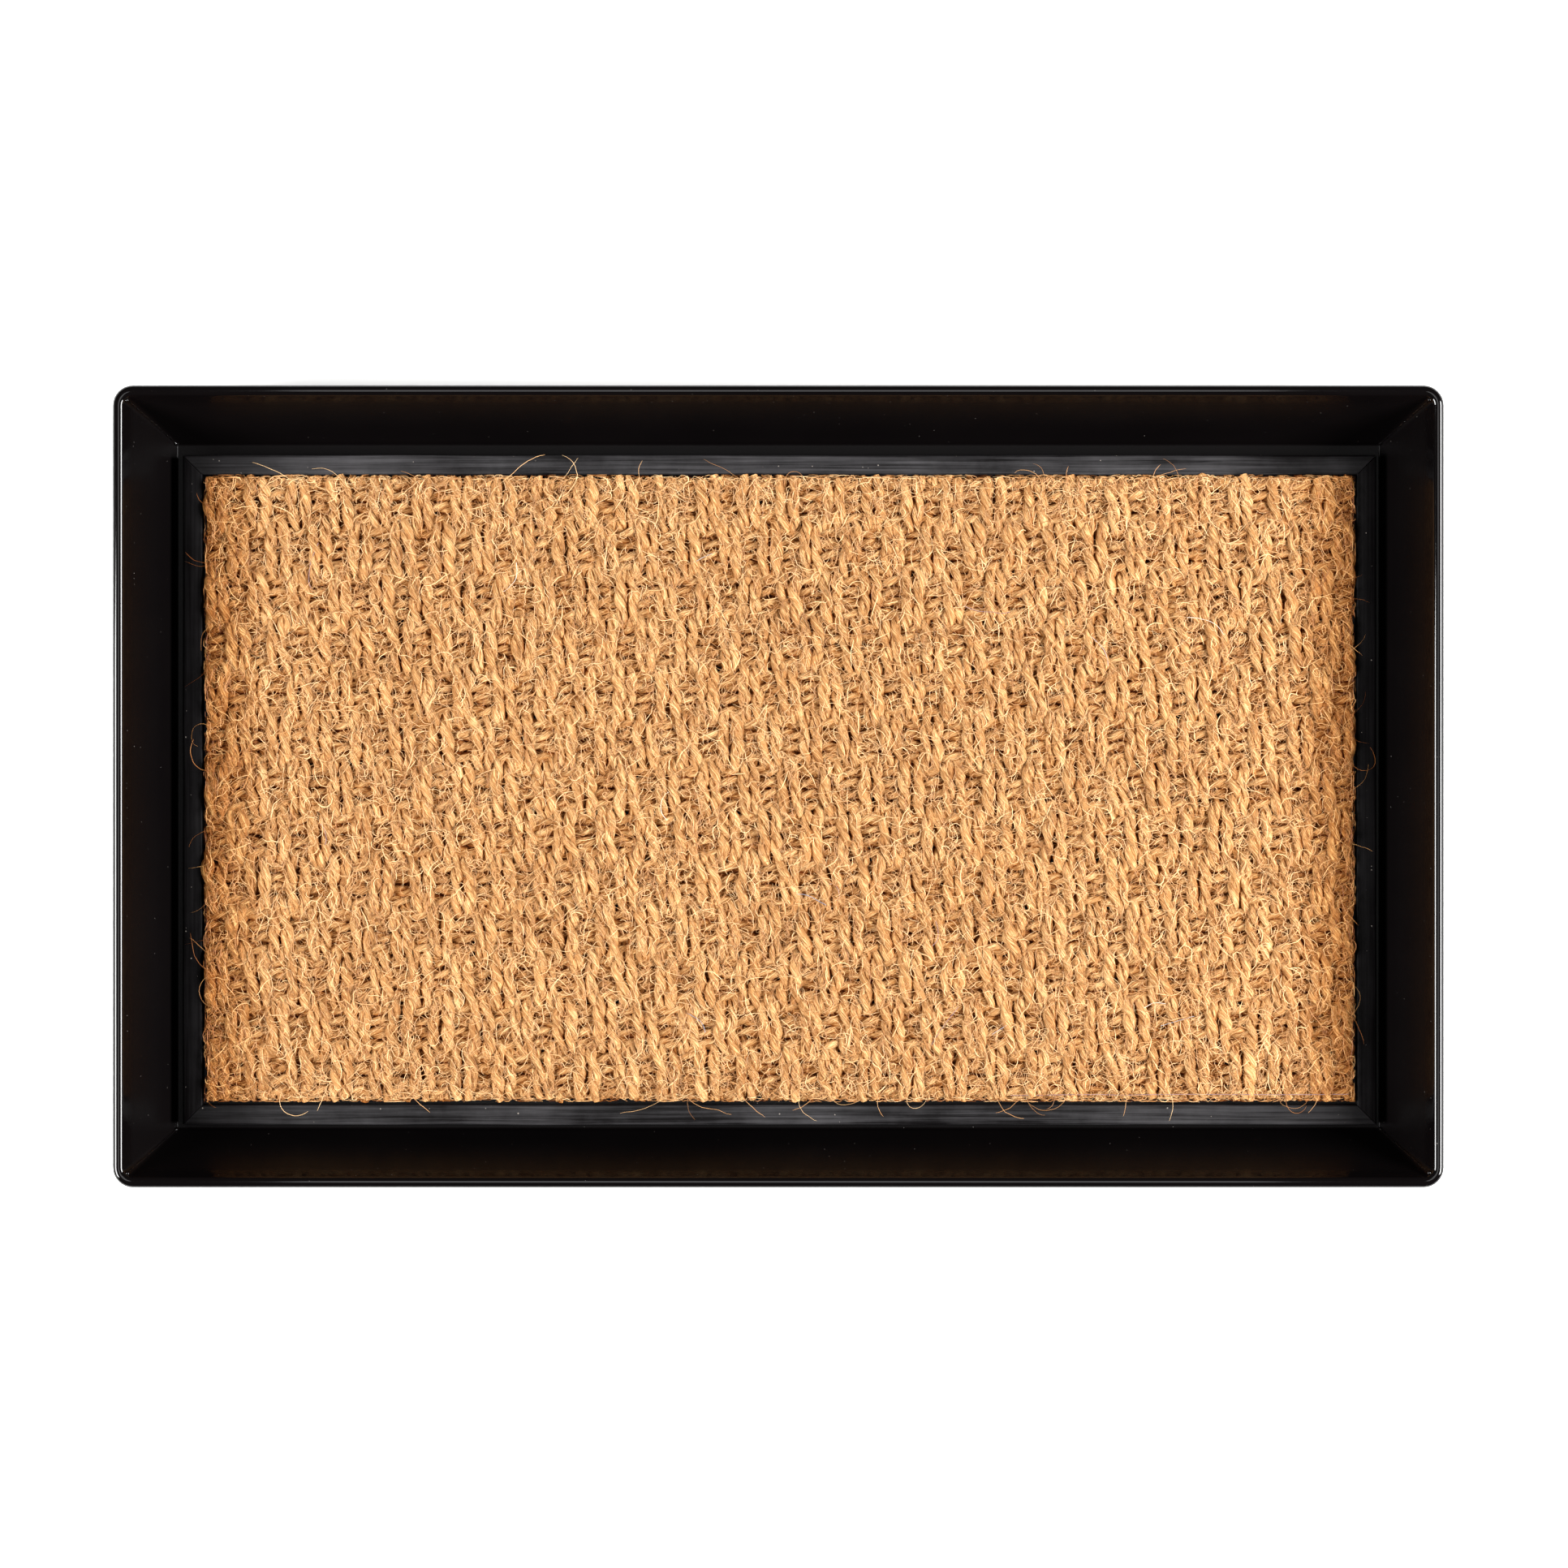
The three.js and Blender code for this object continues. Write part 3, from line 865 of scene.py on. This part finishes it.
# -----------------------------------------------------------------------------
# Coir fuzz: the ends of coir fibres. Some lie wrapped on the yarns, some curl out of them and lie
# over the cloth, and some fill the hollows between the floats. A few longer ones stray over the
# rubber frame.
FIBRE_SIDES = 3
FIBRE_RADIUS = 0.000138
WRAPPED_FIBRES = {"warp": 4600, "weft": 1500}
WRAPPED_POINTS = 6
WRAPPED_LENGTH = (0.005, 0.011)
WRAPPED_FACING = (0.4, 2.6)
WRAPPED_TURN = (0.9, 0.5)
WRAPPED_REACH = (0.98, 1.12)
WRAPPED_TUCK = 0.0003
FUZZ_POINTS = 6
# Of each kind: the count, the range of lengths, the spread of headings, the curl and the range of
# heights above the cloth.
FUZZ = {
    "lying": (5400, (0.006, 0.014), 0.6, 80, (-0.0001, 0.0006)),
    "loose": (5000, (0.006, 0.016), 3.0, 160, (-0.0001, 0.0010)),
    "curly": (4800, (0.005, 0.012), 3.0, 330, (-0.0004, 0.0008)),
    "sunken": (3600, (0.005, 0.011), 3.0, 250, (-0.0012, -0.0001)),
    "packing": (5400, (0.005, 0.011), 3.0, 350, (-0.0016, 0.0006)),
    "matted": (3400, (0.004, 0.009), 3.0, 420, (-0.0004, 0.0012)),
    "border": (2600, (0.004, 0.009), 3.0, 380, (-0.0010, 0.0006)),
}
IN_HOLLOWS = ("packing", "matted")
BORDER_DEPTH = 0.006
PACKING_TRIES = 12
FUZZ_EDGE = 0.0008
KINK = 0.32
FOLLOWS_CLOTH = 0.6
BRIDGES_CLOTH = 0.4
FIBRE_ARCH = 0.0005
FIBRE_TONES = ((0.15, 0.048, 0.010, 1), (0.43, 0.22, 0.086, 1), (0.71, 0.495, 0.26, 1))
FIBRE_MIDDLE_TONE = 0.5


def cloth_top(x, y):
    """The height of the cloth's upper face, without the yarns' own unevenness."""
    across_rows = (y - cloth_low[1]) / row_pitch - 0.5
    columns = np.clip((x - cloth_low[0]) / column_pitch - 0.5, -0.5, WARP_COLUMNS - 0.5)
    rise = over_and_under(across_rows, np.round(columns))
    warp_top = cloth_middle[2] - WARP_FALL + WARP_SWING * rise + SWING_UP + PLY_RADIUS
    weft_top = cloth_middle[2] + WEFT_RISE + SWING_UP + PLY_RADIUS
    return np.maximum(warp_top, weft_top)


def fuzz_starts(random, name, count):
    """Where fibres start: near the edges of the cloth, where its upper face lies low, or anywhere."""
    if name == "border":
        place, outwards = edge_places(random, count)
        return place - outwards * random.exponential(BORDER_DEPTH, (count, 1))
    tries = PACKING_TRIES if name in IN_HOLLOWS else 1
    starts = random.uniform(cloth_low[:2], cloth_high[:2], (count, tries, 2))
    lowest = cloth_top(starts[:, :, 0], starts[:, :, 1]).argmin(axis=1)
    return starts[np.arange(count), lowest]


def walk(start, step, direction):
    """Flat paths: where each one is after each step from its start, one step in every direction."""
    moves = step[:, :, None] * np.stack([np.cos(direction), np.sin(direction)], axis=2)
    return start[:, None] + moves.cumsum(axis=1)


def fibre_paths(random, name, count, length, heading, curl, lift):
    """Curved fibres that start at random places on the cloth and bend as they go, over its upper face."""
    start = fuzz_starts(random, name, count)
    step = random.uniform(*length, (count, 1)) / (FUZZ_POINTS - 1)
    bend = random.normal(0, curl, (count, 1)) * step
    direction = np.pi / 2 + random.normal(0, heading, (count, 1)) + bend * np.arange(FUZZ_POINTS - 1)
    direction += random.normal(0, KINK, direction.shape).cumsum(axis=1)
    flat = np.concatenate([start[:, None], walk(start, step, direction)], axis=1)
    margin = random.uniform(-FUZZ_EDGE, FUZZ_EDGE, (count, 1, 1))
    flat = np.clip(flat, cloth_low[:2] - margin, cloth_high[:2] + margin)
    under = cloth_top(flat[:, :, 0], flat[:, :, 1])
    stiff = FOLLOWS_CLOTH * under + BRIDGES_CLOTH * under.mean(axis=1, keepdims=True)
    arch = np.sin(np.linspace(0, np.pi, FUZZ_POINTS)) * np.abs(random.normal(0, FIBRE_ARCH, (count, 1)))
    height = stiff + random.uniform(*lift, (count, 1)) + arch
    return np.concatenate([flat, height[:, :, None]], axis=2)


def wrapped_paths(random, count, plies, sideways):
    """Fibres on the upper side of the plies, wound against their twist, with both ends tucked in."""
    points_on_ply = plies.shape[1]
    spacing = np.linalg.norm(plies[:, 1:] - plies[:, :-1], axis=2).mean()
    ply = random.integers(0, len(plies), (count, 1))
    start = random.uniform(0, points_on_ply - 6, (count, 1))
    length = random.uniform(*WRAPPED_LENGTH, (count, 1))
    along = start + np.linspace(0, 1, WRAPPED_POINTS) * length / spacing
    left = np.minimum(along.astype(int), points_on_ply - 2)
    share = (along - left)[:, :, None]
    middle = plies[ply, left] * (1 - share) + plies[ply, left + 1] * share
    facing = random.uniform(*WRAPPED_FACING, (count, 1))
    turns = np.linspace(-0.5, 0.5, WRAPPED_POINTS) * random.normal(*WRAPPED_TURN, (count, 1))
    winding = facing + turns
    tuck = np.abs(np.linspace(-1, 1, WRAPPED_POINTS)) ** 3 * WRAPPED_TUCK
    reach = (PLY_RADIUS * random.uniform(*WRAPPED_REACH, (count, 1)) - tuck)[:, :, None]
    up = np.array([0, 0, 1.0])
    return middle + reach * (np.cos(winding)[:, :, None] * sideways + np.sin(winding)[:, :, None] * up)


def fibre_radii(random, paths):
    """Radii that differ from fibre to fibre and narrow towards both ends."""
    taper = 1 - 0.5 * np.abs(np.linspace(-1, 1, paths.shape[1])) ** 3
    return FIBRE_RADIUS * random.uniform(0.6, 1.25, (len(paths), 1)) * taper


def fibre_material():
    """Single coir fibres: straw to brown, a little shiny, one colour each, with painted shade low in the
    weave and near both ends of the cloth.
    """
    material, tree, shader = new_material("coir_fibre", Roughness=0.5)
    shader.inputs["Specular IOR Level"].default_value = 0.15
    island = add_node(tree, "NewGeometry").outputs["Random Per Island"]
    place = add_node(tree, "TexCoord").outputs["Object"]
    patches = cloudy(tree, place, 220.0, 2.0)
    tone = math(tree, "MULTIPLY_ADD", patches, 0.4, math(tree, "MULTIPLY", island, 0.8))
    tone = math(tree, "SUBTRACT", tone, 0.1, clamp=True)
    colour = three_tones(tree, tone, FIBRE_TONES, FIBRE_MIDDLE_TONE)
    # Painted shade, as on the yarns: darker low in the weave and near both ends of the cloth.
    light = place_group(tree, COIR_PAINTED_SHADE, COIR_SHADE_LEVELS).outputs["Light"]
    tree.links.new(with_painted_shade(tree, colour, light), shader.inputs["Base Color"])
    return material


def fuzz_piece(name, paths, thinner=1.0):
    radii = thinner * fibre_radii(coir_random, paths)
    fuzz = tubes("fuzz_" + name, paths, radii, FIBRE_SIDES, COIR_FIBRE)
    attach(fuzz, "mat")
    return fuzz


COIR_FIBRE = fibre_material()
EDGE_FUZZ = {"count": 2300, "length": (0.004, 0.010), "out": (-0.002, 0.0014), "up": (0.0055, 0.0118)}
EDGE_SWAY = (4, 0.0009)
EDGE_CLIMB = (4, 0.0012)
EDGE_CLEARANCE = 0.0005
STRAY_POINTS = 14
STRAYS = {"tries": 130, "length": (0.012, 0.028), "over_rubber": 0.011}
STRAY_INSET = (0.001, 0.010)
STRAY_ARCH = (0.0002, 0.0012)


def edge_places(random, count):
    """Random places round the cloth's edge, and which way is outwards at each."""
    around = random.uniform(0, 2 * (cloth_length + cloth_width), count)
    on_long_side = around < 2 * cloth_length
    side = np.where(random.random(count) < 0.5, -1.0, 1.0)
    long_share = around / (2 * cloth_length)
    short_share = (around - 2 * cloth_length) / (2 * cloth_width)
    share = np.where(on_long_side, long_share, short_share)
    end_x = cloth_middle[0] + side * cloth_length / 2
    side_y = cloth_middle[1] + side * cloth_width / 2
    x = np.where(on_long_side, cloth_low[0] + share * cloth_length, end_x)
    y = np.where(on_long_side, side_y, cloth_low[1] + share * cloth_width)
    outwards = np.stack([np.where(on_long_side, 0, side), np.where(on_long_side, side, 0)], axis=1)
    return np.stack([x, y], axis=1), outwards


def edge_paths(random, count, length, out, up):
    """Short fibres matted along the cut edges of the cloth, from its underside to its top."""
    place, outwards = edge_places(random, count)
    run = outwards[:, ::-1] * np.where(random.random((count, 1)) < 0.5, -1, 1)
    lengths = random.uniform(*length, (count, 1, 1))
    along = np.linspace(-0.5, 0.5, FUZZ_POINTS)[None, :, None] * lengths
    base_out = random.uniform(*out, (count, 1))
    sway = np.minimum(base_out + smooth_random(random, count, FUZZ_POINTS, *EDGE_SWAY), out[1])
    flat = place[:, None] + run[:, None] * along + outwards[:, None] * sway[:, :, None]
    flat = np.clip(flat, cloth_low[:2] - out[1], cloth_high[:2] + out[1])
    base_height = random.uniform(*up, (count, 1))
    height = base_height + smooth_random(random, count, FUZZ_POINTS, *EDGE_CLIMB)
    height = np.clip(height, cloth_low[2] + EDGE_CLEARANCE, cloth_high[2])
    return np.concatenate([flat, height[:, :, None]], axis=2)


def stray_paths(random, tries, length, over_rubber):
    """Long fibres that leave the top of the cloth near its edge and come down on the rubber frame. Those
    that would reach beyond the frame, or never leave the cloth, are dropped."""
    place, outwards = edge_places(random, tries)
    start = place - outwards * random.uniform(*STRAY_INSET, (tries, 1))
    step = random.uniform(*length, (tries, 1)) / (STRAY_POINTS - 1)
    heading = np.arctan2(outwards[:, 1:], outwards[:, :1]) + random.normal(0, 0.8, (tries, 1))
    bend = random.normal(0, 90, (tries, 1)) * step * np.arange(STRAY_POINTS - 1)
    direction = heading + bend + random.normal(0, 0.12, bend.shape).cumsum(axis=1)
    flat = np.concatenate([start[:, None], walk(start, step, direction)], axis=1)
    beyond = np.maximum(cloth_low[:2] - flat, flat - cloth_high[:2]).max(axis=2)
    kept = (beyond.max(axis=1) < over_rubber) & (beyond.max(axis=1) > 0.001)
    flat = flat[kept]
    fallen = np.clip(beyond[kept] / over_rubber, 0, 1)
    height = cloth_high[2] * (1 - fallen) + (strip_top + 3 * FIBRE_RADIUS) * fallen
    arch = random.uniform(*STRAY_ARCH, (len(flat), 1))
    height += np.sin(np.linspace(0, np.pi, STRAY_POINTS)) * arch
    return np.concatenate([flat, height[:, :, None]], axis=2)


strip_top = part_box("frame_strip_front")[1][2]
all_warp, all_weft = np.concatenate(warp_plies), np.concatenate(weft_plies)
on_warp = wrapped_paths(coir_random, WRAPPED_FIBRES["warp"], all_warp, np.array([1.0, 0, 0]))
on_weft = wrapped_paths(coir_random, WRAPPED_FIBRES["weft"], all_weft, np.array([0, 1.0, 0]))
fuzz_pieces = [fuzz_piece("on_warp", on_warp), fuzz_piece("on_weft", on_weft)]
for name, kind in FUZZ.items():
    fuzz_pieces.append(fuzz_piece(name, fibre_paths(coir_random, name, *kind)))
fuzz_pieces.append(fuzz_piece("edge", edge_paths(coir_random, **EDGE_FUZZ)))
fuzz_pieces.append(fuzz_piece("strays", stray_paths(coir_random, **STRAYS), thinner=0.75))

# -----------------------------------------------------------------------------
# Odd threads: a few stray threads of other yarn caught in the coir, bluish, pale and purple grey, and
# a dark one along the front edge of the cloth, where its last row is pressed flat.
ODD_THREADS = 16
ODD_THREAD_POINTS = 24
ODD_THREAD_RADIUS = 0.00013
ODD_THREAD_LENGTH = (0.007, 0.026)
ODD_THREAD_TURN = 0.1
ODD_THREAD_KINK = 0.15
EDGE_THREAD_FROM_X = 0.11
EDGE_THREAD_INSET = 0.0016
EDGE_THREAD_WANDER = 0.00012
ODD_COLOURS = ((0.16, 0.19, 0.24), (0.58, 0.50, 0.40), (0.20, 0.13, 0.14), (0.30, 0.29, 0.28))


def odd_thread_material():
    """One of a few plain colours for each thread."""
    material, tree, shader = new_material("odd_thread", Roughness=0.8)
    shader.inputs["Specular IOR Level"].default_value = 0.1
    island = add_node(tree, "NewGeometry").outputs["Random Per Island"]
    ramp = add_node(tree, "ValToRGB", {"Fac": island})
    ramp.color_ramp.interpolation = "CONSTANT"
    ramp.color_ramp.elements.remove(ramp.color_ramp.elements[-1])
    ramp.color_ramp.elements[0].color = (*ODD_COLOURS[0], 1)
    for k, colour in enumerate(ODD_COLOURS[1:], start=1):
        ramp.color_ramp.elements.new(k / len(ODD_COLOURS)).color = (*colour, 1)
    tree.links.new(ramp.outputs["Color"], shader.inputs["Base Color"])
    return material


def odd_thread_paths(random):
    """Curved threads that lie on the coir, and one straight along the front edge."""
    start = random.uniform(cloth_low[:2] + 0.03, cloth_high[:2] - 0.03, (ODD_THREADS, 2))
    step = random.uniform(*ODD_THREAD_LENGTH, (ODD_THREADS, 1)) / (ODD_THREAD_POINTS - 1)
    bend = random.normal(0, ODD_THREAD_TURN, (ODD_THREADS, 1))
    turns = bend + random.normal(0, ODD_THREAD_KINK, (ODD_THREADS, ODD_THREAD_POINTS))
    direction = random.uniform(0, 2 * np.pi, (ODD_THREADS, 1)) + 0.5 * turns.cumsum(axis=1)
    flat = walk(start, step, direction)
    edge_x = np.linspace(EDGE_THREAD_FROM_X, cloth_high[0] - 0.002, ODD_THREAD_POINTS)
    wander = random.normal(0, EDGE_THREAD_WANDER, ODD_THREAD_POINTS).cumsum()
    edge_y = cloth_low[1] + EDGE_THREAD_INSET + wander
    flat = np.concatenate([flat, np.stack([edge_x, edge_y], axis=1)[None]])
    top = cloth_top(flat[:, :, 0], flat[:, :, 1])
    height = 0.3 * top + 0.7 * top.max(axis=1, keepdims=True) + ODD_THREAD_RADIUS
    return np.concatenate([flat, height[:, :, None]], axis=2)


thread_lines = odd_thread_paths(np.random.default_rng(5))
thread_radii = np.full(thread_lines.shape[:2], ODD_THREAD_RADIUS)
odd_threads = tubes("odd_threads", thread_lines, thread_radii, 5, odd_thread_material())
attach(odd_threads, "mat")
fuzz_pieces.append(odd_threads)
